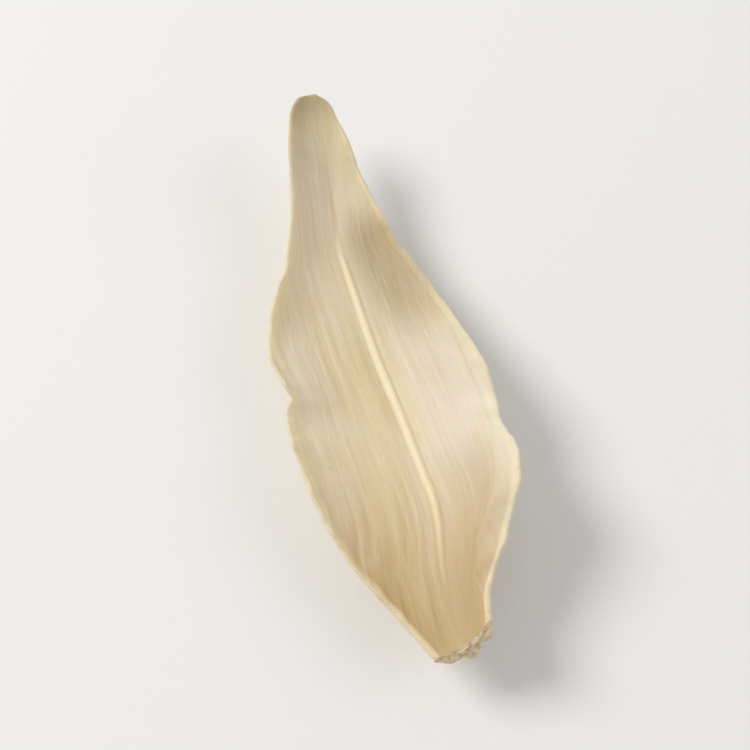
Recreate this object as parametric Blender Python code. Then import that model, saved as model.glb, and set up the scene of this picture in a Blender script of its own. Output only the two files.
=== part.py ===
# A single dried scale of a lily bulb, lying hollow side up on its rounded belly.
#
# The scale is one piece of shrunken, horn-like flesh: a boat-shaped blade that is
# thick along its middle, thin at its frilled margins, broken off square at the
# base and drawn out to a blunt point at the tip. A raised rib runs up the middle
# of the hollow face and a soft keel answers it on the belly.
#
# Frame: metres, +Z up. The long axis runs along Y with the tip towards +Y. The
# origin is under the centre of the bounding box, on the surface it lies on.

import bmesh
import bpy
import numpy as np

# ---------------------------------------------------------------- dimensions
# Everything in this block is in millimetres and degrees. A station is a distance
# along the scale, from the broken base (0) to the tip (LENGTH).
LENGTH = 49.3

# plan outline on either side of the long axis, and the line of the raised rib
LEFT_EDGE = [
    (0.0, -2.25), (3.0, -3.91), (6.0, -5.49), (9.0, -6.71), (12.5, -7.64),
    (16.2, -8.11), (19.3, -8.36), (22.1, -8.67), (23.4, -8.42), (24.7, -7.82),
    (25.9, -7.91), (27.5, -8.34), (28.9, -8.62), (30.5, -8.48), (32.5, -7.90),
    (34.4, -6.98), (36.3, -5.87), (38.7, -4.66), (41.5, -3.62), (44.0, -2.85),
    (46.5, -1.98), (48.0, -1.31), (48.8, -0.76), (49.3, -0.15),
]
RIGHT_EDGE = [
    (0.0, 2.25), (1.5, 2.54), (3.0, 2.90), (4.4, 3.78), (5.8, 5.16),
    (7.4, 6.04), (8.9, 7.29), (10.4, 8.31), (11.8, 8.62), (13.2, 8.75),
    (14.4, 8.56), (15.5, 8.25), (16.6, 8.06), (18.0, 8.11), (19.6, 8.07),
    (21.2, 8.13), (23.0, 7.83), (25.2, 7.31), (27.5, 6.65), (30.0, 5.85),
    (32.0, 5.16), (34.0, 4.43), (36.0, 3.62), (38.5, 3.20), (41.0, 2.71),
    (43.5, 2.54), (46.0, 2.46), (48.0, 2.29), (48.8, 1.96), (49.3, 1.47),
]
RIB_LINE = [
    (0.0, -0.53), (4.0, -0.56), (7.0, -0.45), (9.5, -0.12), (11.5, 0.19),
    (13.5, 0.28), (16.0, 0.06), (18.5, -0.16), (21.0, -0.36), (24.0, -0.66),
    (28.0, -0.99), (32.0, -1.07), (36.0, -1.10), (40.0, -0.43), (45.0, 0.65),
    (49.3, 1.42),
]
# height of the hollow's floor: the belly hangs lowest and the tip curves up most
FLOOR_HEIGHT = [
    (0.0, 3.10), (4.0, 2.02), (8.0, 1.12), (12.0, 0.46), (16.0, 0.10),
    (20.0, 0.00), (24.0, 0.22), (28.0, 0.78), (32.0, 1.62), (36.0, 2.74),
    (40.0, 4.05), (44.0, 5.50), (47.0, 6.62), (49.3, 7.38),
]
# slope of the cross-section beside the rib, and how steep each side gets
CREASE = [(0.0, 5), (10.0, 7), (18.0, 10), (26.0, 15), (37.0, 14), (45.0, 8), (49.3, 4)]
LEFT_RISE = [
    (0.0, 50), (5.0, 66), (10.0, 73), (15.0, 74), (19.0, 71), (22.5, 63),
    (25.6, 72), (28.8, 63), (33.0, 58), (38.0, 58), (43.0, 60), (49.3, 44),
]
RIGHT_RISE = [
    (0.0, 46), (4.0, 56), (8.0, 61), (12.0, 59), (16.0, 51), (20.0, 46),
    (24.0, 44), (28.0, 38), (31.5, 27), (35.0, 14), (39.0, 10), (43.0, 12), (49.3, 16),
]
# the lower part of the right margin is bent back outwards into a narrow lip
LIP_BEND = [(0.0, 0), (2.5, 16), (5.5, 50), (11.0, 58), (16.0, 50), (19.2, 25), (21.5, 0), (49.3, 0)]
# where it bends and how softly, as shares of the way out to the margin
LIP_START = [(0.0, 0.52), (7.0, 0.54), (11.0, 0.66), (15.0, 0.74), (49.3, 0.78)]
LIP_EASE = 0.20
LIP_FULL = 60  # a bend at which the flesh inside the lip is at its steepest
# the section turns about the long axis towards the tip
TURN = [(0.0, 5), (12.0, 2), (24.0, 0), (30.0, -2), (36.0, -9), (42.0, -15), (49.3, -20)]

# thickness of the flesh along the middle and at the margins
FLESH = [
    (0.0, 1.55), (4.0, 1.95), (10.0, 2.35), (17.0, 2.30), (25.0, 1.85),
    (33.0, 1.36), (40.0, 1.02), (45.0, 0.80), (49.3, 0.50),
]
MARGIN = [
    (0.0, 0.58), (5.0, 0.42), (14.0, 0.34), (30.0, 0.31), (44.0, 0.31), (49.3, 0.28),
]
# the raised rib, and how far its flank runs to each side
RIB_HEIGHT = [
    (0.0, 0.00), (5.0, 0.07), (10.0, 0.21), (16.0, 0.30), (28.0, 0.30),
    (33.0, 0.25), (36.5, 0.15), (39.5, 0.06), (44.0, 0.02), (49.3, 0.00),
]
RIB_REACH = 0.27
KEEL = 0.10  # how much the flesh swells along the outside of the rib

FRILL = 0.42  # height of the waves in the thin margins
BROAD_DENT, SMALL_DENT = 0.30, 0.16  # unevenness of the shrunken flesh
BELLY_FLAT = 0.13  # depth of the flat on which the belly rests
TEAR_SLANT, TEAR_ROUGH, TEAR_REACH = 0.20, 0.32, 4.5  # the break at the base

# mesh density
STATIONS = 62
HALF_FACE = (0.0, 0.025, 0.055, 0.11, 0.20, 0.31, 0.42, 0.53, 0.64, 0.73, 0.80, 0.87, 0.94, 1.0)
HALF_BACK = (0.0, 0.09, 0.20, 0.33, 0.47, 0.61, 0.75, 0.86, 0.94, 1.0)
MARGIN_STEPS = 3

MM = 0.001


# ---------------------------------------------------------------- smooth rules
def through(table, at):
    """A smooth curve through (station, value) pairs that never overshoots them."""
    x, v = np.array(table, float).T
    step = np.diff(x)
    slope = np.diff(v) / step
    tangent = np.zeros_like(v)
    tangent[0], tangent[-1] = slope[0], slope[-1]
    for i in range(1, len(x) - 1):
        if slope[i - 1] * slope[i] > 0:
            a, b = 2 * step[i] + step[i - 1], step[i] + 2 * step[i - 1]
            tangent[i] = (a + b) / (a / slope[i - 1] + b / slope[i])
    at = np.clip(np.asarray(at, float), x[0], x[-1])
    i = np.clip(np.searchsorted(x, at, side="right") - 1, 0, len(x) - 2)
    t = (at - x[i]) / step[i]
    return (
        (2 * t**3 - 3 * t**2 + 1) * v[i]
        + (t**3 - 2 * t**2 + t) * step[i] * tangent[i]
        + (3 * t**2 - 2 * t**3) * v[i + 1]
        + (t**3 - t**2) * step[i] * tangent[i + 1]
    )


def ease(low, high, value):
    t = np.clip((value - low) / (high - low), 0, 1)
    return t * t * t * (t * (6 * t - 15) + 10)


GRAIN = np.random.RandomState(417).rand(64, 64) * 2 - 1


def lattice(a, b, seed=0):
    """Smooth, repeatable unevenness between -1 and 1 over a plane."""
    a, b = np.broadcast_arrays(np.asarray(a, float), np.asarray(b, float))
    a, b = a + 11.37 * seed, b + 7.91 * seed
    i, j = np.floor(a).astype(int), np.floor(b).astype(int)
    p, q = a - i, b - j
    p, q = p * p * p * (p * (6 * p - 15) + 10), q * q * q * (q * (6 * q - 15) + 10)

    def node(k, l):
        return GRAIN[(k + 5 * l) % 64, (3 * l + seed) % 64]

    low = node(i, j) * (1 - p) + node(i + 1, j) * p
    high = node(i, j + 1) * (1 - p) + node(i + 1, j + 1) * p
    return low * (1 - q) + high * q


# ---------------------------------------------------------------- the surfaces
def section_side(crease, rise, lip, start, half_width, share):
    """Across and up along one side of each cross-section, from rib to margin."""
    steps = 160
    w = (np.arange(steps) + 0.5)[None, :] / steps
    full = 1 - (1 - start) * np.clip(lip / LIP_FULL, 0, 1)
    angle = crease[:, None] + (rise - crease)[:, None] * np.clip(w / full[:, None], 0, 1) ** 1.3
    angle = np.radians(angle - lip[:, None] * ease(0, 1, (w - start[:, None]) / LIP_EASE))
    zero = np.zeros((len(rise), 1))
    out = np.concatenate([zero, np.cumsum(np.cos(angle), axis=1)], axis=1) / steps
    up = np.concatenate([zero, np.cumsum(np.sin(angle), axis=1)], axis=1) / steps
    size = (half_width / out[:, -1])[:, None]
    at = np.clip(share, 0, 1) * steps
    i = np.clip(at.astype(int), 0, steps - 1)
    f = at - i
    return (
        size * (out[:, i] * (1 - f) + out[:, i + 1] * f),
        size * (up[:, i] * (1 - f) + up[:, i + 1] * f),
    )


def hollow_face(station, across):
    """Grid of points on the hollow face, without its rib.

    across runs from -1 at the left margin through 0 on the rib to 1 at the right.
    """
    rib = through(RIB_LINE, station)
    left, right = rib - through(LEFT_EDGE, station), through(RIGHT_EDGE, station) - rib
    is_left = across < 0
    crease, start = through(CREASE, station), through(LIP_START, station)
    x, z = np.zeros((2, len(station), len(across)))
    for side, half, rise, lip, sign in (
        (is_left, left, through(LEFT_RISE, station), 0 * station, -1),
        (~is_left, right, through(RIGHT_RISE, station), through(LIP_BEND, station), 1),
    ):
        out, up = section_side(crease, rise, lip, start, half, np.abs(across[side]))
        x[:, side], z[:, side] = sign * out, up
    s, w = station[:, None], np.abs(across)[None, :]
    # both ends keep their plain shape
    body = ease(0, 7, s) * ease(0, 8, LENGTH - s)
    # the thin margins dried into gentle frills
    wave = np.where(
        is_left[None, :],
        lattice(s / 3.4, 0.5, 3) + 0.5 * lattice(s / 1.7, 0.5, 9),
        lattice(s / 3.1, 0.5, 5) + 0.5 * lattice(s / 1.6, 0.5, 12),
    )
    z = z + FRILL * w**5 * wave * body
    # soft dents where the flesh shrank
    dent = BROAD_DENT * lattice(s / 8.5, x / 5.5, 21) + SMALL_DENT * lattice(s / 4.6, x / 3.2, 33)
    z = z + dent * body * (0.35 + 0.65 * ease(0, 2.4, np.abs(x)))
    # the section turns towards the tip and stands square to the curving floor
    turn = np.radians(through(TURN, station))[:, None]
    x, z = x * np.cos(turn) - z * np.sin(turn), x * np.sin(turn) + z * np.cos(turn)
    before, after = np.clip(station - 0.5, 0, LENGTH), np.clip(station + 0.5, 0, LENGTH)
    climb = (through(FLOOR_HEIGHT, after) - through(FLOOR_HEIGHT, before)) / (after - before)
    climb = np.arctan(climb)[:, None]
    return np.stack(
        [
            rib[:, None] + x,
            s - z * np.sin(climb),
            through(FLOOR_HEIGHT, station)[:, None] + z * np.cos(climb),
        ],
        axis=2,
    )


def unit(v):
    return v / np.maximum(np.linalg.norm(v, axis=-1, keepdims=True), 1e-12)


def facing(grid):
    """Unit normals of a grid of points, on its hollow side."""
    return unit(np.cross(np.gradient(grid, axis=1), np.gradient(grid, axis=0)))


def widths(station):
    """Width of the blade to the left and to the right of its rib."""
    rib = through(RIB_LINE, station)[:, None]
    return rib - through(LEFT_EDGE, station)[:, None], through(RIGHT_EDGE, station)[:, None] - rib


def rib_swell(station, across):
    """How high the rib stands above the hollow face, in mm."""
    left, right = widths(station)
    off = across[None, :] * np.where(across[None, :] < 0, left, right)
    return through(RIB_HEIGHT, station)[:, None] * np.exp(-((off / RIB_REACH) ** 2))


def thickness(station, across):
    """Thickness of the flesh, greatest midway between the two margins."""
    left, right = widths(station)
    off = across[None, :] * np.where(across[None, :] < 0, left, right)
    w = (off - (right - left) / 2) / ((right + left) / 2)
    # the lip is all thin margin, so the flesh ends inside its bend
    lip = np.clip(through(LIP_BEND, station) / LIP_FULL, 0, 1)
    inside = 1 - 0.75 * lip * (1 - through(LIP_START, station))
    w = np.clip(np.where(w > 0, w / inside[:, None], -w), 0, 1)
    middle, edge = through(FLESH, station)[:, None], through(MARGIN, station)[:, None]
    keel = KEEL * np.exp(-((off / 1.1) ** 2)) * ease(0, 6, station)[:, None]
    keel = keel * ease(0, 10, LENGTH - station)[:, None]
    return edge + (middle - edge) * np.cos(0.5 * np.pi * w**1.3) ** 2 + keel


def rings():
    """One closed ring of points round the flesh at each station."""
    t = np.linspace(0, 1, STATIONS)
    station = LENGTH * (t + 0.045 * np.sin(2 * np.pi * t) / np.pi)
    face_at = np.array([-w for w in HALF_FACE[:0:-1]] + list(HALF_FACE))
    back_at = np.array([-w for w in HALF_BACK[:0:-1]] + list(HALF_BACK))
    face = hollow_face(station, face_at)
    normal = facing(face)
    face_out = face + normal * rib_swell(station, face_at)[..., None]
    under = hollow_face(station, back_at)
    back = under - facing(under) * thickness(station, back_at)[..., None]
    parts = [face_out]
    # each margin is closed by half a turn about the middle of its thickness
    for end, beside in ((-1, -2), (0, 1)):
        half = thickness(station, face_at[[end]]) / 2
        up = normal[:, end]
        out = face[:, end] - face[:, beside]
        out = unit(out - up * np.sum(out * up, axis=1, keepdims=True))
        middle = face[:, end] - up * half
        bends = np.pi * np.arange(1, MARGIN_STEPS + 1) / (MARGIN_STEPS + 1)
        if end == 0:
            bends = bends[::-1]
        edge = [middle + half * (np.cos(b) * up + np.sin(b) * out) for b in bends]
        parts.append(np.stack(edge, axis=1))
        if end == -1:
            parts.append(back[:, ::-1])
    return np.concatenate(parts, axis=1)


def torn_aslant(ring_points):
    """Slants and roughens the break at the base."""
    x, y = ring_points[..., 0], ring_points[..., 1]
    near = np.clip(1 - y / TEAR_REACH, 0, 1.3) ** 2
    ragged = TEAR_SLANT * x + TEAR_ROUGH * lattice(x * 0.9 + 0.3, ring_points[..., 2] * 0.7, 15)
    ring_points = ring_points.copy()
    ring_points[..., 1] = y + near * ragged
    return ring_points


def capped(ring_points):
    """Closes both ends: a torn scar at the base and a rounded blunt tip."""
    base, tip = ring_points[0], ring_points[-1]
    down = unit(ring_points[0].mean(axis=0) - ring_points[2].mean(axis=0))
    ahead = unit(ring_points[-1].mean(axis=0) - ring_points[-3].mean(axis=0))
    before = []
    for shrink, push in ((0.30, -0.16), (0.62, 0.02), (0.88, 0.10)):
        centre = base.mean(axis=0)
        torn = 0.12 * lattice(base[:, 0] * shrink * 1.3, base[:, 2] * 1.3, 40)
        before.append(centre + (base - centre) * shrink + np.outer(push + torn, down))
    after = []
    for shrink, push in ((0.86, 0.12), (0.50, 0.22)):
        centre = tip.mean(axis=0)
        after.append(centre + (tip - centre) * shrink + push * ahead)
    return before + list(ring_points) + after


# ---------------------------------------------------------------- the solid
def joined(loops):
    """Points and triangles of the solid that the loops enclose."""
    n = len(loops[0])
    points = [p for loop in loops for p in loop]
    faces = []
    for k in range(len(loops) - 1):
        for j in range(n):
            a, b = k * n + j, k * n + (j + 1) % n
            c, d = b + n, a + n
            if np.linalg.norm(points[a] - points[c]) < np.linalg.norm(points[b] - points[d]):
                faces += [(a, b, c), (a, c, d)]
            else:
                faces += [(a, b, d), (b, c, d)]
    for loop, start, flip in ((loops[0], 0, True), (loops[-1], (len(loops) - 1) * n, False)):
        points.append(np.mean(loop, axis=0))
        for j in range(n):
            a, b = start + j, start + (j + 1) % n
            faces.append((b, a, len(points) - 1) if flip else (a, b, len(points) - 1))
    points, faces = np.array(points), np.array(faces)
    a, b, c = points[faces[:, 0]], points[faces[:, 1]], points[faces[:, 2]]
    if np.sum(np.cross(a, b) * c) < 0:
        faces = faces[:, ::-1]
    return points, faces


def centre_of_mass(points, faces):
    a, b, c = points[faces[:, 0]], points[faces[:, 1]], points[faces[:, 2]]
    bulk = np.sum(np.cross(a, b) * c, axis=1) / 6
    return np.sum((a + b + c) / 4 * bulk[:, None], axis=0) / bulk.sum(), bulk.sum()


def settled(points, faces):
    """Turns the scale until it would lie still on its belly, then seats it."""
    points = points - centre_of_mass(points, faces)[0]
    down = np.array([0.0, 0.0, -1.0])
    for size in 0.02 * 0.985 ** np.arange(500):
        depth = points @ down
        bears = np.maximum(depth - depth.max() + BELLY_FLAT, 0.0)
        spot = bears @ points / bears.sum()
        down = unit(down - size * unit(spot - (spot @ down) * down))
    up = -down
    right = unit(np.array([1.0, 0.0, 0.0]) - up[0] * up)
    points = points @ np.stack([right, np.cross(up, right), up], axis=1)
    points[:, 2] = np.maximum(points[:, 2], points[:, 2].min() + BELLY_FLAT)
    low, high = points.min(axis=0), points.max(axis=0)
    return points - [(low[0] + high[0]) / 2, (low[1] + high[1]) / 2, low[2]]


# ---------------------------------------------------------------- the object
for old in list(bpy.data.objects):
    bpy.data.objects.remove(old, do_unlink=True)

flesh = bpy.data.materials.new("dried_scale_flesh")
flesh.use_nodes = True
shader = flesh.node_tree.nodes["Principled BSDF"]
shader.inputs["Base Color"].default_value = (0.72, 0.60, 0.38, 1.0)
shader.inputs["Roughness"].default_value = 0.46
shader.inputs["Metallic"].default_value = 0.0

scale_points, scale_faces = joined(capped(torn_aslant(rings())))
scale_points = settled(scale_points, scale_faces)

mesh = bpy.data.meshes.new("lily_scale")
form = bmesh.new()
corners = [form.verts.new(p * MM) for p in scale_points]
for a, b, c in scale_faces:
    form.faces.new((corners[a], corners[b], corners[c]))
form.normal_update()
form.to_mesh(mesh)
form.free()
mesh.shade_smooth()
mesh.materials.append(flesh)

lily_scale = bpy.data.objects.new("lily_scale", mesh)
bpy.context.scene.collection.objects.link(lily_scale)
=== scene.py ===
# Looks of a single dried lily bulb scale, lying hollow side up.
#
# The shape rules are those of the solid. Here they are read on a much finer grid,
# with the veins, wrinkles and frayed edges that a solid for contact leaves out.

import bpy
import numpy as np
from mathutils import Matrix, Vector


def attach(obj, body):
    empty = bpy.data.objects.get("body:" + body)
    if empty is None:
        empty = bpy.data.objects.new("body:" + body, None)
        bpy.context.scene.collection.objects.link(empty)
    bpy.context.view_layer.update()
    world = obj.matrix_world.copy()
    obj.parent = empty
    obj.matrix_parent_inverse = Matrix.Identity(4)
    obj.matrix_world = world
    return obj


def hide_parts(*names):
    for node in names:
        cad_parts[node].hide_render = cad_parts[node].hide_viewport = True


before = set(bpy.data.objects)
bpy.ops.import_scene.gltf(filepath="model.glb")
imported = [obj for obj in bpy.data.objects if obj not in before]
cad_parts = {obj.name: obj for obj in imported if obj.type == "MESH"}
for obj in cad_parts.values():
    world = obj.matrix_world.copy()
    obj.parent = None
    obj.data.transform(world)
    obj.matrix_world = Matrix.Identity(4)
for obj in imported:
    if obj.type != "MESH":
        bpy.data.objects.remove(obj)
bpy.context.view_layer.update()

# ---------------------------------------------------------------- dimensions
# Everything in this block is in millimetres and degrees. A station is a distance
# along the scale, from the broken base (0) to the tip (LENGTH).
LENGTH = 49.3

# plan outline on either side of the long axis, and the line of the raised rib
LEFT_EDGE = [
    (0.0, -2.25), (3.0, -3.91), (6.0, -5.49), (9.0, -6.71), (12.5, -7.64),
    (16.2, -8.11), (19.3, -8.36), (22.1, -8.67), (23.4, -8.42), (24.7, -7.82),
    (25.9, -7.91), (27.5, -8.34), (28.9, -8.62), (30.5, -8.48), (32.5, -7.90),
    (34.4, -6.98), (36.3, -5.87), (38.7, -4.66), (41.5, -3.62), (44.0, -2.85),
    (46.5, -1.98), (48.0, -1.31), (48.8, -0.76), (49.3, -0.15),
]
RIGHT_EDGE = [
    (0.0, 2.25), (1.5, 2.54), (3.0, 2.90), (4.4, 3.78), (5.8, 5.16),
    (7.4, 6.04), (8.9, 7.29), (10.4, 8.31), (11.8, 8.62), (13.2, 8.75),
    (14.4, 8.56), (15.5, 8.25), (16.6, 8.06), (18.0, 8.11), (19.6, 8.07),
    (21.2, 8.13), (23.0, 7.83), (25.2, 7.31), (27.5, 6.65), (30.0, 5.85),
    (32.0, 5.16), (34.0, 4.43), (36.0, 3.62), (38.5, 3.20), (41.0, 2.71),
    (43.5, 2.54), (46.0, 2.46), (48.0, 2.29), (48.8, 1.96), (49.3, 1.47),
]
RIB_LINE = [
    (0.0, -0.53), (4.0, -0.56), (7.0, -0.45), (9.5, -0.12), (11.5, 0.19),
    (13.5, 0.28), (16.0, 0.06), (18.5, -0.16), (21.0, -0.36), (24.0, -0.66),
    (28.0, -0.99), (32.0, -1.07), (36.0, -1.10), (40.0, -0.43), (45.0, 0.65),
    (49.3, 1.42),
]
# height of the hollow's floor: the belly hangs lowest and the tip curves up most
FLOOR_HEIGHT = [
    (0.0, 3.10), (4.0, 2.02), (8.0, 1.12), (12.0, 0.46), (16.0, 0.10),
    (20.0, 0.00), (24.0, 0.22), (28.0, 0.78), (32.0, 1.62), (36.0, 2.74),
    (40.0, 4.05), (44.0, 5.50), (47.0, 6.62), (49.3, 7.38),
]
# slope of the cross-section beside the rib, and how steep each side gets
CREASE = [(0.0, 5), (10.0, 7), (18.0, 10), (26.0, 15), (37.0, 14), (45.0, 8), (49.3, 4)]
LEFT_RISE = [
    (0.0, 50), (5.0, 66), (10.0, 73), (15.0, 74), (19.0, 71), (22.5, 63),
    (25.6, 72), (28.8, 63), (33.0, 58), (38.0, 58), (43.0, 60), (49.3, 44),
]
RIGHT_RISE = [
    (0.0, 46), (4.0, 56), (8.0, 61), (12.0, 59), (16.0, 51), (20.0, 46),
    (24.0, 44), (28.0, 38), (31.5, 27), (35.0, 14), (39.0, 10), (43.0, 12), (49.3, 16),
]
# the lower part of the right margin is bent back outwards into a narrow lip
LIP_BEND = [(0.0, 0), (2.5, 16), (5.5, 50), (11.0, 58), (16.0, 50), (19.2, 25), (21.5, 0), (49.3, 0)]
# where it bends and how softly, as shares of the way out to the margin
LIP_START = [(0.0, 0.52), (7.0, 0.54), (11.0, 0.66), (15.0, 0.74), (49.3, 0.78)]
LIP_EASE = 0.20
LIP_FULL = 60  # a bend at which the flesh inside the lip is at its steepest
# the section turns about the long axis towards the tip
TURN = [(0.0, 5), (12.0, 2), (24.0, 0), (30.0, -2), (36.0, -9), (42.0, -15), (49.3, -20)]

# thickness of the flesh along the middle and at the margins
FLESH = [
    (0.0, 1.55), (4.0, 1.95), (10.0, 2.35), (17.0, 2.30), (25.0, 1.85),
    (33.0, 1.36), (40.0, 1.02), (45.0, 0.80), (49.3, 0.50),
]
MARGIN = [
    (0.0, 0.58), (5.0, 0.42), (14.0, 0.34), (30.0, 0.31), (44.0, 0.31), (49.3, 0.28),
]
# the raised rib, and how far its flank runs to each side
RIB_HEIGHT = [
    (0.0, 0.00), (5.0, 0.07), (10.0, 0.21), (16.0, 0.30), (28.0, 0.30),
    (33.0, 0.25), (36.5, 0.15), (39.5, 0.06), (44.0, 0.02), (49.3, 0.00),
]
RIB_REACH = 0.27
KEEL = 0.10  # how much the flesh swells along the outside of the rib

FRILL = 0.42  # height of the waves in the thin margins
BROAD_DENT, SMALL_DENT = 0.30, 0.16  # unevenness of the shrunken flesh
BELLY_FLAT = 0.13  # depth of the flat on which the belly rests
TEAR_SLANT, TEAR_ROUGH, TEAR_REACH = 0.20, 0.32, 4.5  # the break at the base

# mesh density
STATIONS = 62
HALF_FACE = (0.0, 0.025, 0.055, 0.11, 0.20, 0.31, 0.42, 0.53, 0.64, 0.73, 0.80, 0.87, 0.94, 1.0)
HALF_BACK = (0.0, 0.09, 0.20, 0.33, 0.47, 0.61, 0.75, 0.86, 0.94, 1.0)
MARGIN_STEPS = 3

MM = 0.001


# ---------------------------------------------------------------- smooth rules
def through(table, at):
    """A smooth curve through (station, value) pairs that never overshoots them."""
    x, v = np.array(table, float).T
    step = np.diff(x)
    slope = np.diff(v) / step
    tangent = np.zeros_like(v)
    tangent[0], tangent[-1] = slope[0], slope[-1]
    for i in range(1, len(x) - 1):
        if slope[i - 1] * slope[i] > 0:
            a, b = 2 * step[i] + step[i - 1], step[i] + 2 * step[i - 1]
            tangent[i] = (a + b) / (a / slope[i - 1] + b / slope[i])
    at = np.clip(np.asarray(at, float), x[0], x[-1])
    i = np.clip(np.searchsorted(x, at, side="right") - 1, 0, len(x) - 2)
    t = (at - x[i]) / step[i]
    return (
        (2 * t**3 - 3 * t**2 + 1) * v[i]
        + (t**3 - 2 * t**2 + t) * step[i] * tangent[i]
        + (3 * t**2 - 2 * t**3) * v[i + 1]
        + (t**3 - t**2) * step[i] * tangent[i + 1]
    )


def ease(low, high, value):
    t = np.clip((value - low) / (high - low), 0, 1)
    return t * t * t * (t * (6 * t - 15) + 10)


GRAIN = np.random.RandomState(417).rand(64, 64) * 2 - 1


def lattice(a, b, seed=0):
    """Smooth, repeatable unevenness between -1 and 1 over a plane."""
    a, b = np.broadcast_arrays(np.asarray(a, float), np.asarray(b, float))
    a, b = a + 11.37 * seed, b + 7.91 * seed
    i, j = np.floor(a).astype(int), np.floor(b).astype(int)
    p, q = a - i, b - j
    p, q = p * p * p * (p * (6 * p - 15) + 10), q * q * q * (q * (6 * q - 15) + 10)

    def node(k, l):
        return GRAIN[(k + 5 * l) % 64, (3 * l + seed) % 64]

    low = node(i, j) * (1 - p) + node(i + 1, j) * p
    high = node(i, j + 1) * (1 - p) + node(i + 1, j + 1) * p
    return low * (1 - q) + high * q


# ---------------------------------------------------------------- the surfaces
def section_side(crease, rise, lip, start, half_width, share):
    """Across and up along one side of each cross-section, from rib to margin."""
    steps = 160
    w = (np.arange(steps) + 0.5)[None, :] / steps
    full = 1 - (1 - start) * np.clip(lip / LIP_FULL, 0, 1)
    angle = crease[:, None] + (rise - crease)[:, None] * np.clip(w / full[:, None], 0, 1) ** 1.3
    angle = np.radians(angle - lip[:, None] * ease(0, 1, (w - start[:, None]) / LIP_EASE))
    zero = np.zeros((len(rise), 1))
    out = np.concatenate([zero, np.cumsum(np.cos(angle), axis=1)], axis=1) / steps
    up = np.concatenate([zero, np.cumsum(np.sin(angle), axis=1)], axis=1) / steps
    size = (half_width / out[:, -1])[:, None]
    at = np.clip(share, 0, 1) * steps
    i = np.clip(at.astype(int), 0, steps - 1)
    f = at - i
    return (
        size * (out[:, i] * (1 - f) + out[:, i + 1] * f),
        size * (up[:, i] * (1 - f) + up[:, i + 1] * f),
    )


def hollow_face(station, across):
    """Grid of points on the hollow face, without its rib.

    across runs from -1 at the left margin through 0 on the rib to 1 at the right.
    """
    rib = through(RIB_LINE, station)
    left, right = rib - through(LEFT_EDGE, station), through(RIGHT_EDGE, station) - rib
    is_left = across < 0
    crease, start = through(CREASE, station), through(LIP_START, station)
    x, z = np.zeros((2, len(station), len(across)))
    for side, half, rise, lip, sign in (
        (is_left, left, through(LEFT_RISE, station), 0 * station, -1),
        (~is_left, right, through(RIGHT_RISE, station), through(LIP_BEND, station), 1),
    ):
        out, up = section_side(crease, rise, lip, start, half, np.abs(across[side]))
        x[:, side], z[:, side] = sign * out, up
    s, w = station[:, None], np.abs(across)[None, :]
    # both ends keep their plain shape
    body = ease(0, 7, s) * ease(0, 8, LENGTH - s)
    # the thin margins dried into gentle frills
    wave = np.where(
        is_left[None, :],
        lattice(s / 3.4, 0.5, 3) + 0.5 * lattice(s / 1.7, 0.5, 9),
        lattice(s / 3.1, 0.5, 5) + 0.5 * lattice(s / 1.6, 0.5, 12),
    )
    z = z + FRILL * w**5 * wave * body
    # soft dents where the flesh shrank
    dent = BROAD_DENT * lattice(s / 8.5, x / 5.5, 21) + SMALL_DENT * lattice(s / 4.6, x / 3.2, 33)
    z = z + dent * body * (0.35 + 0.65 * ease(0, 2.4, np.abs(x)))
    # the section turns towards the tip and stands square to the curving floor
    turn = np.radians(through(TURN, station))[:, None]
    x, z = x * np.cos(turn) - z * np.sin(turn), x * np.sin(turn) + z * np.cos(turn)
    before, after = np.clip(station - 0.5, 0, LENGTH), np.clip(station + 0.5, 0, LENGTH)
    climb = (through(FLOOR_HEIGHT, after) - through(FLOOR_HEIGHT, before)) / (after - before)
    climb = np.arctan(climb)[:, None]
    return np.stack(
        [
            rib[:, None] + x,
            s - z * np.sin(climb),
            through(FLOOR_HEIGHT, station)[:, None] + z * np.cos(climb),
        ],
        axis=2,
    )


def unit(v):
    return v / np.maximum(np.linalg.norm(v, axis=-1, keepdims=True), 1e-12)


def facing(grid):
    """Unit normals of a grid of points, on its hollow side."""
    return unit(np.cross(np.gradient(grid, axis=1), np.gradient(grid, axis=0)))


def widths(station):
    """Width of the blade to the left and to the right of its rib."""
    rib = through(RIB_LINE, station)[:, None]
    return rib - through(LEFT_EDGE, station)[:, None], through(RIGHT_EDGE, station)[:, None] - rib


def rib_swell(station, across):
    """How high the rib stands above the hollow face, in mm."""
    left, right = widths(station)
    off = across[None, :] * np.where(across[None, :] < 0, left, right)
    return through(RIB_HEIGHT, station)[:, None] * np.exp(-((off / RIB_REACH) ** 2))


def thickness(station, across):
    """Thickness of the flesh, greatest midway between the two margins."""
    left, right = widths(station)
    off = across[None, :] * np.where(across[None, :] < 0, left, right)
    w = (off - (right - left) / 2) / ((right + left) / 2)
    # the lip is all thin margin, so the flesh ends inside its bend
    lip = np.clip(through(LIP_BEND, station) / LIP_FULL, 0, 1)
    inside = 1 - 0.75 * lip * (1 - through(LIP_START, station))
    w = np.clip(np.where(w > 0, w / inside[:, None], -w), 0, 1)
    middle, edge = through(FLESH, station)[:, None], through(MARGIN, station)[:, None]
    keel = KEEL * np.exp(-((off / 1.1) ** 2)) * ease(0, 6, station)[:, None]
    keel = keel * ease(0, 10, LENGTH - station)[:, None]
    return edge + (middle - edge) * np.cos(0.5 * np.pi * w**1.3) ** 2 + keel


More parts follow.
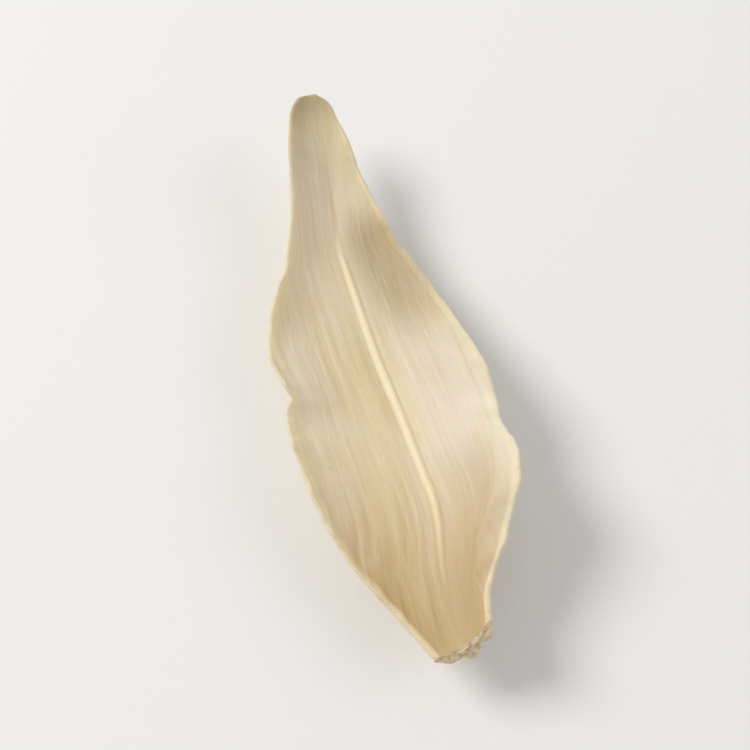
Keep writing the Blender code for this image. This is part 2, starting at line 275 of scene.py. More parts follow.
def rings():
    """One closed ring of points round the flesh at each station."""
    t = np.linspace(0, 1, STATIONS)
    station = LENGTH * (t + 0.045 * np.sin(2 * np.pi * t) / np.pi)
    face_at = np.array([-w for w in HALF_FACE[:0:-1]] + list(HALF_FACE))
    back_at = np.array([-w for w in HALF_BACK[:0:-1]] + list(HALF_BACK))
    face = hollow_face(station, face_at)
    normal = facing(face)
    face_out = face + normal * rib_swell(station, face_at)[..., None]
    under = hollow_face(station, back_at)
    back = under - facing(under) * thickness(station, back_at)[..., None]
    parts = [face_out]
    # each margin is closed by half a turn about the middle of its thickness
    for end, beside in ((-1, -2), (0, 1)):
        half = thickness(station, face_at[[end]]) / 2
        up = normal[:, end]
        out = face[:, end] - face[:, beside]
        out = unit(out - up * np.sum(out * up, axis=1, keepdims=True))
        middle = face[:, end] - up * half
        bends = np.pi * np.arange(1, MARGIN_STEPS + 1) / (MARGIN_STEPS + 1)
        if end == 0:
            bends = bends[::-1]
        edge = [middle + half * (np.cos(b) * up + np.sin(b) * out) for b in bends]
        parts.append(np.stack(edge, axis=1))
        if end == -1:
            parts.append(back[:, ::-1])
    return np.concatenate(parts, axis=1)


def torn_aslant(ring_points):
    """Slants and roughens the break at the base."""
    x, y = ring_points[..., 0], ring_points[..., 1]
    near = np.clip(1 - y / TEAR_REACH, 0, 1.3) ** 2
    ragged = TEAR_SLANT * x + TEAR_ROUGH * lattice(x * 0.9 + 0.3, ring_points[..., 2] * 0.7, 15)
    ring_points = ring_points.copy()
    ring_points[..., 1] = y + near * ragged
    return ring_points


def capped(ring_points):
    """Closes both ends: a torn scar at the base and a rounded blunt tip."""
    base, tip = ring_points[0], ring_points[-1]
    down = unit(ring_points[0].mean(axis=0) - ring_points[2].mean(axis=0))
    ahead = unit(ring_points[-1].mean(axis=0) - ring_points[-3].mean(axis=0))
    before = []
    for shrink, push in ((0.30, -0.16), (0.62, 0.02), (0.88, 0.10)):
        centre = base.mean(axis=0)
        torn = 0.12 * lattice(base[:, 0] * shrink * 1.3, base[:, 2] * 1.3, 40)
        before.append(centre + (base - centre) * shrink + np.outer(push + torn, down))
    after = []
    for shrink, push in ((0.86, 0.12), (0.50, 0.22)):
        centre = tip.mean(axis=0)
        after.append(centre + (tip - centre) * shrink + push * ahead)
    return before + list(ring_points) + after


# ---------------------------------------------------------------- the solid
def joined(loops):
    """Points and triangles of the solid that the loops enclose."""
    n = len(loops[0])
    points = [p for loop in loops for p in loop]
    faces = []
    for k in range(len(loops) - 1):
        for j in range(n):
            a, b = k * n + j, k * n + (j + 1) % n
            c, d = b + n, a + n
            if np.linalg.norm(points[a] - points[c]) < np.linalg.norm(points[b] - points[d]):
                faces += [(a, b, c), (a, c, d)]
            else:
                faces += [(a, b, d), (b, c, d)]
    for loop, start, flip in ((loops[0], 0, True), (loops[-1], (len(loops) - 1) * n, False)):
        points.append(np.mean(loop, axis=0))
        for j in range(n):
            a, b = start + j, start + (j + 1) % n
            faces.append((b, a, len(points) - 1) if flip else (a, b, len(points) - 1))
    points, faces = np.array(points), np.array(faces)
    a, b, c = points[faces[:, 0]], points[faces[:, 1]], points[faces[:, 2]]
    if np.sum(np.cross(a, b) * c) < 0:
        faces = faces[:, ::-1]
    return points, faces


def centre_of_mass(points, faces):
    a, b, c = points[faces[:, 0]], points[faces[:, 1]], points[faces[:, 2]]
    bulk = np.sum(np.cross(a, b) * c, axis=1) / 6
    return np.sum((a + b + c) / 4 * bulk[:, None], axis=0) / bulk.sum(), bulk.sum()


def settled(points, faces):
    """Turns the scale until it would lie still on its belly, then seats it."""
    points = points - centre_of_mass(points, faces)[0]
    down = np.array([0.0, 0.0, -1.0])
    for size in 0.02 * 0.985 ** np.arange(500):
        depth = points @ down
        bears = np.maximum(depth - depth.max() + BELLY_FLAT, 0.0)
        spot = bears @ points / bears.sum()
        down = unit(down - size * unit(spot - (spot @ down) * down))
    up = -down
    right = unit(np.array([1.0, 0.0, 0.0]) - up[0] * up)
    points = points @ np.stack([right, np.cross(up, right), up], axis=1)
    points[:, 2] = np.maximum(points[:, 2], points[:, 2].min() + BELLY_FLAT)
    low, high = points.min(axis=0), points.max(axis=0)
    return points - [(low[0] + high[0]) / 2, (low[1] + high[1]) / 2, low[2]]


# ---------------------------------------------------------------- fine surface
FINE_STATIONS = 424
FACE_COLUMNS, BACK_COLUMNS, TURN_COLUMNS = 112, 92, 7
BASE_LOOPS, TIP_LOOPS = 14, 7
VEINS = 8  # veins on either side of the rib


def columns(count):
    t = np.linspace(-1, 1, count if count % 2 else count + 1)
    return np.sign(t) * np.abs(t) ** 1.18


def run_out(grid, across):
    """Signed distance in mm along each row from the column nearest the rib."""
    step = np.linalg.norm(np.diff(grid, axis=1), axis=2)
    far = np.concatenate([np.zeros((len(grid), 1)), np.cumsum(step, axis=1)], axis=1)
    return far - far[:, [int(np.argmin(np.abs(across)))]]


def ridged(a, b, seed, octaves=3):
    total, size, whole = 0.0, 1.0, 0.0
    for k in range(octaves):
        total = total + size * (1 - 2 * np.abs(lattice(a * 2**k, b * 2**k, seed + 4 * k)))
        whole += size
        size *= 0.55
    return total / whole


def frayed(grid, normal, station, across):
    """Draws the very margin in and out, with a few small nicks."""
    s = station[:, None]
    w = ease(0.86, 1.0, np.abs(across))[None, :]
    calm = ease(0.5, 4.0, s) * ease(0.0, 3.0, LENGTH - s)
    side = np.sign(across)[None, :]
    jitter = 0.080 * lattice(s / 1.3, side * 3.1, 51) + 0.035 * lattice(s / 0.55, side * 5.3, 57)
    nick = np.zeros_like(s + w)
    for at, hand, deep, wide in (
        (24.9, -1, 0.14, 0.70), (21.0, -1, 0.07, 0.60), (31.9, -1, 0.08, 0.70), (36.4, -1, 0.06, 0.8),
        (17.4, 1, 0.16, 0.80), (27.1, 1, 0.08, 0.70), (33.0, 1, 0.07, 0.60), (10.9, 1, 0.06, 0.7),
        (10.4, -1, 0.08, 0.70), (16.1, -1, 0.06, 0.6), (42.3, 1, 0.05, 0.6),
    ):
        nick = nick + np.where(side == hand, deep * np.exp(-(((s - at) / wide) ** 2)), 0.0)
    outward = np.gradient(grid, axis=1) * side[..., None]
    outward = unit(outward - normal * np.sum(outward * normal, axis=2, keepdims=True))
    return grid + outward * (w * (jitter * calm - nick))[..., None]


def face_relief(s, arc, w):
    """Veins and shrinkage on the hollow face, in mm."""
    quiet = ease(0.0, 5.0, s) * ease(0.0, 5.0, LENGTH - s)
    beside = 0.55 + 0.45 * ease(0.3, 1.2, np.abs(arc))
    fibre = 0.048 * lattice(arc / 0.62 + 0.35 * lattice(s / 6, arc / 3, 71), s / 7.5, 61)
    fibre = fibre + 0.036 * lattice(arc / 0.34, s / 5.0, 64)
    sunk = 0.090 * lattice(arc / 1.9, s / 6.5, 67) * beside
    pucker = 0.060 * lattice((s + 0.55 * np.abs(arc)) / 1.25, arc / 2.4, 75) * w**3
    pucker = pucker + 0.030 * lattice((s + 0.4 * np.abs(arc)) / 0.6, arc / 1.3, 78) * w**4
    return quiet * (fibre + sunk + pucker)


def back_relief(s, arc, w):
    """Grooves and wrinkles that shrinking drew along the outside, in mm."""
    quiet = ease(0.0, 3.0, s) * ease(0.0, 4.0, LENGTH - s)
    groove = 0.110 * ridged(arc / 1.5 + 0.4 * lattice(s / 7, arc / 3, 81), s / 13, 83)
    fibre = 0.045 * lattice(arc / 0.45, s / 6, 86)
    wrinkle = 0.050 * lattice((s + 0.3 * arc) / 1.6, arc / 1.9, 88) * (0.3 + 0.7 * w**2)
    return quiet * (groove + fibre + wrinkle)


def fine_rings():
    """The rings of the fine surface, with what the material needs at each point."""
    t = np.linspace(0, 1, FINE_STATIONS)
    station = LENGTH * (t + 0.045 * np.sin(2 * np.pi * t) / np.pi)
    s = station[:, None]
    face_at, back_at = columns(FACE_COLUMNS), columns(BACK_COLUMNS)

    face = hollow_face(station, face_at)
    normal = facing(face)
    face = frayed(face, normal, station, face_at)
    arc_f = run_out(face, face_at)
    w_f = np.abs(face_at)[None, :]
    relief = face_relief(s, arc_f, w_f)
    # about the rib the relief rises square to the rib itself
    beside = ease(0.0, 0.16, w_f)[..., None]
    lift = unit(normal[:, [len(face_at) // 2]] * (1 - beside) + normal * beside)
    shown = face + lift * (rib_swell(station, face_at) + relief)[..., None]

    under = hollow_face(station, back_at)
    under_normal = facing(under)
    under = frayed(under, under_normal, station, back_at)
    arc_b = run_out(under, back_at)
    w_b = np.abs(back_at)[None, :]
    behind = back_relief(s, arc_b, w_b)
    thick = thickness(station, back_at)
    calm = 1 - 0.9 * ease(0.90, 1.0, w_b)
    back = under - under_normal * (thick + behind * calm)[..., None]

    def facts(arc, across, side, rim, depth, rib):
        shape = (len(station), len(across))
        cells = [arc, s, side, across[None, :], rim, depth, rib]
        return np.stack([np.broadcast_to(c, shape) for c in cells], axis=2)

    depth_f = thickness(station, face_at)
    rib_f = rib_swell(station, face_at) / 0.30
    points = [shown]
    info = [facts(arc_f, face_at, 0.0, ease(0.86, 1.0, w_f), depth_f, rib_f)]
    for end, beside in ((-1, -2), (0, 1)):
        up = normal[:, end]
        top, low = shown[:, end], back[:, end]
        middle = (top + low) / 2
        half = np.linalg.norm(top - low, axis=1, keepdims=True) / 2
        up = unit(top - low)
        out = face[:, end] - face[:, beside]
        out = unit(out - up * np.sum(out * up, axis=1, keepdims=True))
        bends = np.pi * np.arange(1, TURN_COLUMNS + 1) / (TURN_COLUMNS + 1)
        side = np.arange(1, TURN_COLUMNS + 1) / (TURN_COLUMNS + 1)
        if end == 0:
            bends, side = bends[::-1], side[::-1]
        points.append(np.stack([middle + half * (np.cos(b) * up + np.sin(b) * out) for b in bends], axis=1))
        info.append(
            facts(
                np.repeat(arc_f[:, [end]], TURN_COLUMNS, axis=1),
                np.full(TURN_COLUMNS, face_at[end]),
                side[None, :],
                1.0,
                depth_f[:, [end]],
                0.0,
            )
        )
        if end == -1:
            points.append(back[:, ::-1])
            info.append(facts(arc_b, back_at, 1.0, ease(0.86, 1.0, w_b), thick, 0.0)[:, ::-1])
    return torn_aslant(np.concatenate(points, axis=1)), np.concatenate(info, axis=1)


def ended(ring_points, info):
    """Adds the loops of the torn base and of the rounded tip, and marks them."""
    n = ring_points.shape[1]
    scar = np.zeros(info.shape[:2] + (1,))
    near = 1 - np.arange(6) / 6
    scar[:6, :, 0] = 0.55 * near[:, None] ** 2
    info = np.concatenate([info, scar], axis=2)
    base, tip = ring_points[0], ring_points[-1]
    down = unit(ring_points[0].mean(axis=0) - ring_points[12].mean(axis=0))
    ahead = unit(ring_points[-1].mean(axis=0) - ring_points[-8].mean(axis=0))
    centre = base.mean(axis=0)
    before, before_info = [], []
    for k in range(BASE_LOOPS):
        share = (k + 0.6) / (BASE_LOOPS + 0.6)
        flat = centre + (base - centre) * share
        dome = 0.12 * np.sqrt(np.clip(1 - share**6, 0, 1)) - 0.30 * (1 - share) ** 1.5
        fibre = 0.10 * lattice(flat[:, 0] / 0.60, flat[:, 2] / 0.75, 91) + 0.05 * lattice(
            flat[:, 0] / 0.28, flat[:, 2] / 0.33, 94
        )
        fibre = fibre * ease(0.0, 0.25, 1 - share)
        before.append(flat + np.outer(dome + fibre, down))
        row = info[0].copy()
        row[:, 7] = 1.0
        before_info.append(row)
    after, after_info = [], []
    middle = tip.mean(axis=0)
    for k in range(TIP_LOOPS):
        share = 1 - (k + 1) / (TIP_LOOPS + 0.5)
        after.append(middle + (tip - middle) * share + 0.24 * np.sqrt(1 - share**2) * ahead)
        after_info.append(info[-1])
    points = np.concatenate([np.array(before), ring_points, np.array(after)])
    info = np.concatenate([np.array(before_info), info, np.array(after_info)])
    return points, info


def coarse_attitude():
    """The turn and shift that seat the plain solid on its belly."""
    points, faces = joined(capped(torn_aslant(rings())))
    centre = centre_of_mass(points, faces)[0]
    free = points - centre
    down = np.array([0.0, 0.0, -1.0])
    for size in 0.02 * 0.985 ** np.arange(500):
        depth = free @ down
        bears = np.maximum(depth - depth.max() + BELLY_FLAT, 0.0)
        spot = bears @ free / bears.sum()
        down = unit(down - size * unit(spot - (spot @ down) * down))
    up = -down
    right = unit(np.array([1.0, 0.0, 0.0]) - up[0] * up)
    turn = np.stack([right, np.cross(up, right), up], axis=1)
    free = free @ turn
    table = free[:, 2].min() + BELLY_FLAT
    free[:, 2] = np.maximum(free[:, 2], table)
    low, high = free.min(axis=0), free.max(axis=0)
    return centre, turn, np.array([(low[0] + high[0]) / 2, (low[1] + high[1]) / 2, table])


def shell_mesh(name):
    grid, info = ended(*fine_rings())
    centre, turn, seat = coarse_attitude()
    grid = (grid - centre) @ turn
    grid[..., 2] = np.maximum(grid[..., 2], seat[2])
    grid = (grid - seat) * MM
    rows, n = grid.shape[:2]
    points = grid.reshape(-1, 3)
    values = info.reshape(-1, info.shape[2])
    j = np.arange(n)
    k = np.arange(rows - 1)[:, None]
    a, b = k * n + j, k * n + (j + 1) % n
    quads = np.stack([a, b, b + n, a + n], axis=2).reshape(-1, 4)
    # the bake's own map: round the ring one way, along the blade the other
    ring = grid[rows // 2]
    walk = np.linalg.norm(np.roll(ring, -1, axis=0) - ring, axis=1)
    u = np.concatenate([[0], np.cumsum(walk)]) / walk.sum()
    line = grid.mean(axis=1)
    stride = np.linalg.norm(np.diff(line, axis=0), axis=1)
    stride[:BASE_LOOPS] = 0.10 * MM
    v = np.concatenate([[0], np.cumsum(stride)])
    v = 0.01 + 0.98 * (0.006 + 0.988 * v / v[-1])
    uv = np.stack(
        [
            np.stack([u[j] + 0 * k, v[k] + 0 * j], axis=2),
            np.stack([u[j + 1] + 0 * k, v[k] + 0 * j], axis=2),
            np.stack([u[j + 1] + 0 * k, v[k + 1] + 0 * j], axis=2),
            np.stack([u[j] + 0 * k, v[k + 1] + 0 * j], axis=2),
        ],
        axis=2,
    ).reshape(-1, 4, 2)
    # a fan closes each end
    ends = []
    for row, step, edge_v, flip in ((0, -1, v[0], True), (rows - 1, 1, v[-1], False)):
        hub = len(points)
        points = np.concatenate([points, grid[row].mean(axis=0, keepdims=True)])
        values = np.concatenate([values, info[row].mean(axis=0, keepdims=True)])
        for i in range(n):
            p, q = row * n + i, row * n + (i + 1) % n
            corners = [(p, (u[i], edge_v)), (q, (u[i + 1], edge_v)), (hub, ((u[i] + u[i + 1]) / 2, edge_v + 0.006 * step))]
            ends.append(corners[::-1] if flip else corners)
    faces = [tuple(int(c) for c in f) for f in quads] + [tuple(c[0] for c in f) for f in ends]
    flat_uv = np.concatenate([uv.reshape(-1, 2)] + [np.array([c[1] for c in f]) for f in ends])
    # every face looks outwards, so the enclosed volume counts as positive
    fans = points[np.array([(f[0], f[i], f[i + 1]) for f in faces for i in range(1, len(f) - 1)])]
    if np.einsum("ij,ij->i", fans[:, 0], np.cross(fans[:, 1], fans[:, 2])).sum() < 0:
        faces = [f[::-1] for f in faces]
        sizes = [len(f) for f in faces]
        at, turned = 0, []
        for size in sizes:
            turned.append(flat_uv[at : at + size][::-1])
            at += size
        flat_uv = np.concatenate(turned)
    mesh = bpy.data.meshes.new(name)
    mesh.from_pydata([tuple(p) for p in points], [], faces)
    layer = mesh.uv_layers.new(name="OFBake")
    layer.data.foreach_set("uv", flat_uv.astype(np.float32).ravel())
    for title, channels in (("blade", (0, 1, 2)), ("place", (3, 4, 7)), ("flesh", (5, 6, 2))):
        store = mesh.attributes.new(title, "FLOAT_VECTOR", "POINT")
        store.data.foreach_set("vector", values[:, channels].astype(np.float32).ravel())
    mesh.update()
    mesh.shade_smooth()
    return mesh


# ---------------------------------------------------------------- materials
def tint(r, g, b):
    """Linear colour from everyday 0-255 values."""
    c = np.array([r, g, b]) / 255.0
    c = np.where(c <= 0.04045, c / 12.92, ((c + 0.055) / 1.055) ** 2.4)
    return (float(c[0]), float(c[1]), float(c[2]), 1.0)


class Graph:
    """Short-hand for wiring shader nodes."""

    def __init__(self, material):
        material.use_nodes = True
        self.tree = material.node_tree
        self.tree.nodes.clear()

    def node(self, kind, inputs=None, **settings):
        made = self.tree.nodes.new(kind)
        for key, value in settings.items():
            setattr(made, key, value)
        for key, value in (inputs or {}).items():
            self.feed(made.inputs[key], value)
        return made

    def feed(self, socket, value):
        if isinstance(value, bpy.types.NodeSocket):
            self.tree.links.new(value, socket)
        else:
            socket.default_value = value

    def math(self, operation, a, b=0.0, c=0.0, clamp=False):
        made = self.node("ShaderNodeMath", operation=operation, use_clamp=clamp)
        for socket, value in zip(made.inputs, (a, b, c)):
            self.feed(socket, value)
        return made.outputs[0]

    def ramp(self, value, low, high, to_low=0.0, to_high=1.0, smooth=True):
        made = self.node(
            "ShaderNodeMapRange",
            {"Value": value, "From Min": low, "From Max": high, "To Min": to_low, "To Max": to_high},
            interpolation_type="SMOOTHSTEP" if smooth else "LINEAR",
        )
        return made.outputs["Result"]

    def vector(self, x, y, z):
        return self.node("ShaderNodeCombineXYZ", {"X": x, "Y": y, "Z": z}).outputs[0]

    def noise(self, vector, scale=1.0, detail=3.0, rough=0.5, warp=0.0):
        made = self.node(
            "ShaderNodeTexNoise",
            {"Vector": vector, "Scale": scale, "Detail": detail, "Roughness": rough, "Distortion": warp},
        )
        return made.outputs["Fac"]

    def mix(self, factor, a, b, blend="MIX"):
        made = self.node("ShaderNodeMix", data_type="RGBA", blend_type=blend, clamp_factor=True)
        self.feed(made.inputs[0], factor)
        self.feed(made.inputs[6], a)
        self.feed(made.inputs[7], b)
        return made.outputs[2]

    def attribute(self, name):
        made = self.node("ShaderNodeAttribute", attribute_name=name, attribute_type="GEOMETRY")
        parts = self.node("ShaderNodeSeparateXYZ", {"Vector": made.outputs["Vector"]})
        return parts.outputs["X"], parts.outputs["Y"], parts.outputs["Z"]


def flesh_material():
    material = bpy.data.materials.new("dried_flesh")
    g = Graph(material)
    arc, s, side = g.attribute("blade")
    across, rim, scar = g.attribute("place")
    depth, rib, _ = g.attribute("flesh")
    spot = g.node("ShaderNodeTexCoord").outputs["Object"]
    offset = g.math("MULTIPLY", side, 17.0)

    def along(per_mm_across, per_mm_along, shift=0.0):
        x = g.math("MULTIPLY_ADD", arc, per_mm_across, shift)
        y = g.math("MULTIPLY", s, per_mm_along)
        return g.vector(x, y, g.math("ADD", offset, shift))

    # the flesh drifts between warm cream and a paler, faintly pink ivory; it is paler still over the middle of
    # the right half and the outer middle of the left, partly its own paler tone and partly painted light on
    # the walls of the hollow
    drift = g.noise(spot, 95.0, 3.0, 0.55, 0.3)
    towards_right = g.math("MULTIPLY", g.ramp(across, -0.15, 0.45, 0.0, 0.75), g.ramp(s, 33.0, 25.0))
    towards_right = g.math("MULTIPLY", towards_right, g.ramp(s, 11.0, 20.0, 0.35, 1.0))
    towards_left = g.math("MULTIPLY", g.ramp(across, -0.30, -0.75, 0.0, 0.60), g.ramp(s, 17.0, 23.0))
    towards_left = g.math("MULTIPLY", towards_left, g.ramp(s, 33.0, 27.0))
    paler = g.math("ADD", g.ramp(drift, 0.38, 0.68, 0.0, 0.55), towards_right, clamp=True)
    paler = g.math("ADD", paler, towards_left, clamp=True)
    colour = g.mix(paler, tint(229, 212, 172), tint(237, 225, 210))
    # painted shade: the upper right of the hollow face, where the right wing turns away from the key light, is
    # mixed towards dark olive, and the veins and pale rim are held back there
    painted_upper_right_shade = g.math("MULTIPLY", g.ramp(across, -0.10, 0.50), g.ramp(s, 25.0, 33.0))
    painted_upper_right_shade = g.math("MULTIPLY", painted_upper_right_shade, g.ramp(s, 41.0, 36.5, 0.15, 1.0))
    painted_upper_right_shade = g.math("MULTIPLY", painted_upper_right_shade, g.math("SUBTRACT", 1.0, side))
    colour = g.mix(g.math("MULTIPLY", painted_upper_right_shade, 0.80), colour, tint(172, 152, 112))
    # painted shade: the steep right wall just inside the lip, low on the hollow face, is mixed towards a
    # greyish tone
    painted_wall_shade = g.math("MULTIPLY", g.ramp(across, -0.05, 0.30), g.ramp(across, 0.86, 0.66))
    painted_wall_shade = g.math("MULTIPLY", painted_wall_shade, g.ramp(s, 19.0, 12.5))
    painted_wall_shade = g.math("MULTIPLY", painted_wall_shade, g.math("SUBTRACT", 1.0, side))
    colour = g.mix(g.math("MULTIPLY", painted_wall_shade, 0.52), colour, tint(206, 190, 160))
    # thick flesh is deeper and more amber, thin flesh paler
    amber = g.ramp(depth, 1.1, 2.3, 0.0, 0.26)
    colour = g.mix(amber, colour, tint(220, 194, 144))
    # long soft streaks and fine fibres
    streak = g.noise(along(0.95, 0.055), 1.0, 3.0, 0.5)
    colour = g.mix(g.ramp(streak, 0.54, 0.76, 0.0, 0.45), colour, tint(240, 229, 210))
    colour = g.mix(g.ramp(streak, 0.46, 0.24, 0.0, 0.48), colour, tint(212, 194, 142))
    fibre = g.noise(along(3.6, 0.085, 3.0), 1.0, 2.0, 0.5)
    colour = g.mix(g.ramp(fibre, 0.50, 0.78, 0.0, 0.22), colour, tint(242, 233, 216))
    colour = g.mix(g.ramp(fibre, 0.48, 0.22, 0.0, 0.18), colour, tint(204, 180, 132))

    # the outside dried a little darker in its lengthwise furrows
    furrow = g.noise(along(0.72, 0.060, 43.0), 1.0, 3.0, 0.6, 0.3)
    furrow = g.math("MULTIPLY", g.ramp(furrow, 0.50, 0.28), g.ramp(side, 0.4, 0.9))
    colour = g.mix(g.math("MULTIPLY", furrow, 0.55), colour, tint(202, 174, 126))

    # parallel whitish veins that draw together towards both ends
    wander = g.noise(along(0.10, 0.035, 7.0), 1.0, 1.0, 0.5)
    lane = g.math("MULTIPLY_ADD", across, float(VEINS), g.math("MULTIPLY", wander, 1.0))
    gap = g.math("ABSOLUTE", g.math("SUBTRACT", g.math("FRACT", lane), 0.5))
    alive = g.noise(along(0.8, 0.045, 13.0), 1.0, 2.0, 0.5)
    vein = g.math("MULTIPLY", g.ramp(gap, 0.20, 0.0), g.ramp(alive, 0.38, 0.70))
    vein = g.math("MULTIPLY", vein, g.ramp(g.math("ABSOLUTE", across), 0.99, 0.86))
    shown = g.math("MULTIPLY", vein, g.ramp(painted_upper_right_shade, 0.0, 1.0, 0.24, 0.10))
    colour = g.mix(shown, colour, tint(246, 238, 222))

    # the raised rib is pale, and its flanks get a painted shade
    colour = g.mix(g.ramp(rib, 0.10, 0.75, 0.0, 0.92), colour, tint(250, 234, 200))
    beside = g.math("MULTIPLY", g.ramp(rib, 0.0, 0.12), g.ramp(rib, 0.40, 0.14))
    colour = g.mix(g.math("MULTIPLY", beside, 0.22), colour, tint(196, 168, 116))

    # thin margins are pale, partly their own colour and partly a painted highlight where the edge catches the
    # light, less so within the painted shade of the upper right; a little browning on the very edge
    pale_rim_and_highlight = g.math("MULTIPLY", g.ramp(rim, 0.20, 0.85, 0.0, 0.70), g.ramp(painted_upper_right_shade, 1.0, 0.0, 0.25, 1.0))
    colour = g.mix(pale_rim_and_highlight, colour, tint(244, 225, 196))
    singe = g.noise(g.vector(g.math("MULTIPLY", across, 9.0), g.math("MULTIPLY", s, 0.55), 4.0), 1.0, 3.0, 0.6)
    singe = g.math("MULTIPLY", g.ramp(singe, 0.54, 0.74), g.ramp(rim, 0.80, 1.0))
    colour = g.mix(g.math("MULTIPLY", singe, 0.36), colour, tint(194, 158, 104))

    # greenish grey towards the tip; olive amber towards the base away from the margins, partly the flesh's own
    # browning and partly a painted shade in the deep throat of the hollow
    patch = g.noise(spot, 260.0, 3.0, 0.6)
    tip = g.math("MULTIPLY", g.ramp(s, 38.0, 49.0), g.ramp(patch, 0.25, 0.75, 0.45, 1.0))
    colour = g.mix(g.math("MULTIPLY", tip, 0.66), colour, tint(184, 176, 140))
    very_tip = g.ramp(s, 46.6, 49.3)
    colour = g.mix(g.math("MULTIPLY", very_tip, 0.50), colour, tint(150, 142, 106))
    base_tint_and_throat_shade = g.math("MULTIPLY", g.ramp(s, 18.5, 2.0), g.ramp(rim, 0.9, 0.0, 0.25, 1.0))
    colour = g.mix(g.math("MULTIPLY", base_tint_and_throat_shade, 0.66), colour, tint(186, 154, 94))

    # sparse tiny specks
    cell = g.node("ShaderNodeTexVoronoi", {"Vector": spot, "Scale": 520.0, "Randomness": 1.0})
    chosen = g.node("ShaderNodeSeparateColor", {"Color": cell.outputs["Color"]}).outputs[0]
    speck = g.math("MULTIPLY", g.ramp(cell.outputs["Distance"], 0.16, 0.02), g.ramp(chosen, 0.86, 0.97))
    colour = g.mix(g.math("MULTIPLY", speck, 0.20), colour, tint(176, 142, 96))

    # the torn base: mealy, with brown at its rim and in its pits
    grit = g.noise(spot, 2300.0, 4.0, 0.65)
    torn = g.mix(g.ramp(grit, 0.30, 0.62), tint(194, 162, 116), tint(232, 217, 186))
    colour = g.mix(g.ramp(scar, 0.1, 0.95), colour, torn)

    # relief finer than the mesh
    skin = g.noise(along(9.0, 0.55, 21.0), 1.0, 3.0, 0.6)
    grain = g.noise(spot, 3600.0, 3.0, 0.6)
    shrink = g.noise(along(2.4, 0.42, 29.0), 1.0, 3.0, 0.55, 0.4)
    height = g.math("MULTIPLY_ADD", skin, 0.030, g.math("MULTIPLY", grain, 0.010))
    height = g.math("MULTIPLY_ADD", shrink, 0.070, height)
    height = g.math("MULTIPLY_ADD", vein, 0.016, height)
    height = g.math("MULTIPLY_ADD", g.math("MULTIPLY", g.ramp(scar, 0.2, 1.0), grit), 0.09, height)
    bump = g.node("ShaderNodeBump", {"Height": height, "Strength": 0.85, "Distance": 0.001})

    rough = g.math("MULTIPLY_ADD", skin, 0.20, 0.36)
    rough = g.math("ADD", rough, g.ramp(drift, 0.3, 0.7, -0.04, 0.06))
    rough = g.math("MULTIPLY_ADD", scar, 0.35, rough, clamp=True)

    shader = g.node(
        "ShaderNodeBsdfPrincipled",
        {"Base Color": colour, "Roughness": rough, "Normal": bump.outputs[0]},
        subsurface_method="RANDOM_WALK",
    )
    shader.inputs["IOR"].default_value = 1.46
    shader.inputs["Specular IOR Level"].default_value = 0.42
    shader.inputs["Subsurface Weight"].default_value = 0.38
    shader.inputs["Subsurface Radius"].default_value = (1.0, 0.62, 0.30)
    shader.inputs["Subsurface Scale"].default_value = 0.0016
    out = g.node("ShaderNodeOutputMaterial")
    g.tree.links.new(shader.outputs[0], out.inputs["Surface"])
    return material


def plain_material(name, colour, rough):
    material = bpy.data.materials.new(name)
    g = Graph(material)
    spot = g.node("ShaderNodeTexCoord").outputs["Object"]
    cloud = g.noise(spot, 30.0, 2.0, 0.5)
    shade = g.mix(cloud, tint(*[c - 2 for c in colour]), tint(*colour))
    shader = g.node("ShaderNodeBsdfPrincipled", {"Base Color": shade, "Roughness": rough})
    out = g.node("ShaderNodeOutputMaterial")
    g.tree.links.new(shader.outputs[0], out.inputs["Surface"])
    return material


# ---------------------------------------------------------------- the object
scale_shell = bpy.data.objects.new("lily_scale_shell", shell_mesh("lily_scale_shell"))
bpy.context.scene.collection.objects.link(scale_shell)
scale_shell.data.materials.append(flesh_material())
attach(scale_shell, "root")
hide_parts("lily_scale")

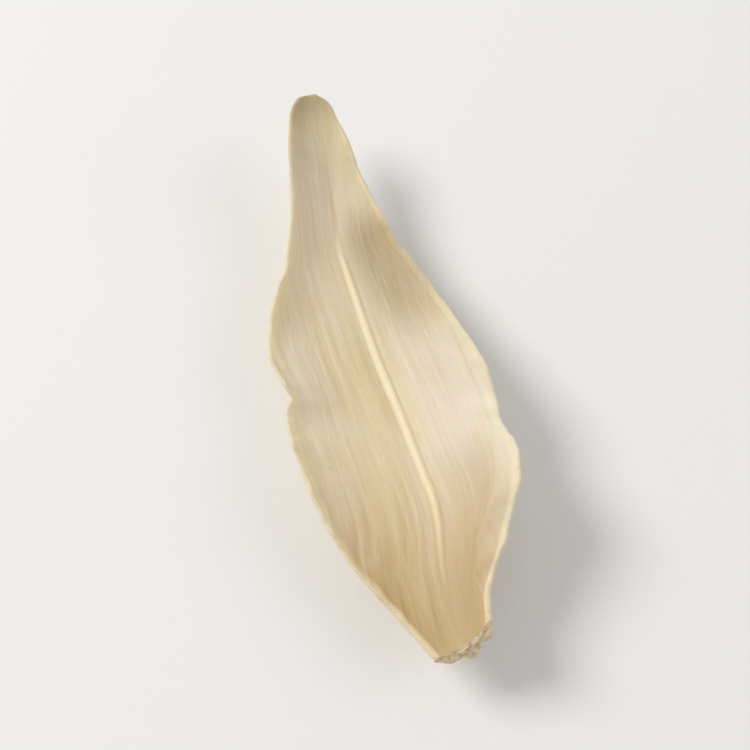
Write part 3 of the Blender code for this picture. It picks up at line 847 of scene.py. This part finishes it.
# ---------------------------------------------------------------- the stage
floor_mesh = bpy.data.meshes.new("floor")
reach = 0.9
floor_mesh.from_pydata(
    [(-reach, -reach, 0), (reach, -reach, 0), (reach, reach, 0), (-reach, reach, 0)], [], [(0, 1, 2, 3)]
)
floor = bpy.data.objects.new("floor", floor_mesh)
bpy.context.scene.collection.objects.link(floor)
floor_mesh.materials.append(plain_material("pale_floor", (244, 243, 241), 0.75))
floor.location.z = -0.00002

CENTRE = Vector((0.0, 0.0005, 0.0035))


def aimed(obj, place, target, lean=0.0, upward=Vector((0, 1, 0))):
    """Puts obj at place, looking at target, with upward turned by lean degrees."""
    obj.location = place
    back = (place - target).normalized()
    right = upward.cross(back).normalized()
    up = back.cross(right)
    turn = Matrix((right, up, back)).transposed()
    obj.rotation_euler = (turn @ Matrix.Rotation(np.radians(lean), 3, "Z")).to_euler()


camera = bpy.data.objects.new("camera", bpy.data.cameras.new("camera"))
camera.data.lens = 100.0
camera.data.sensor_width = 36.0
camera.data.clip_start = 0.005
camera.data.clip_end = 10.0
camera.data.dof.use_dof = False
bpy.context.scene.collection.objects.link(camera)
azimuth, elevation, distance = np.radians(-22.0), np.radians(70.0), 0.176
aimed(
    camera,
    CENTRE
    + distance
    * Vector(
        (
            np.sin(azimuth) * np.cos(elevation),
            -np.cos(azimuth) * np.cos(elevation),
            np.sin(elevation),
        )
    ),
    CENTRE,
    lean=-16.8,
)
bpy.context.scene.camera = camera


def soft_light(name, place, size, power, colour):
    lamp = bpy.data.lights.new(name, "AREA")
    lamp.shape = "DISK"
    lamp.size = size
    lamp.energy = power
    lamp.color = colour
    obj = bpy.data.objects.new(name, lamp)
    bpy.context.scene.collection.objects.link(obj)
    aimed(obj, Vector(place), CENTRE)
    return obj


soft_light("key", (-0.34, 0.26, 0.42), 0.26, 2.1, (1.0, 0.985, 0.96))
soft_light("fill", (0.42, -0.10, 0.36), 0.40, 0.5, (0.97, 0.985, 1.0))

world = bpy.data.worlds.new("studio")
bpy.context.scene.world = world
world.use_nodes = True
background = world.node_tree.nodes["Background"]
background.inputs["Color"].default_value = (0.98, 0.99, 1.0, 1.0)
background.inputs["Strength"].default_value = 0.46

scene = bpy.context.scene
scene.view_settings.view_transform = "Standard"
scene.view_settings.look = "None"
scene.view_settings.exposure = 0.0
scene.view_settings.gamma = 1.0
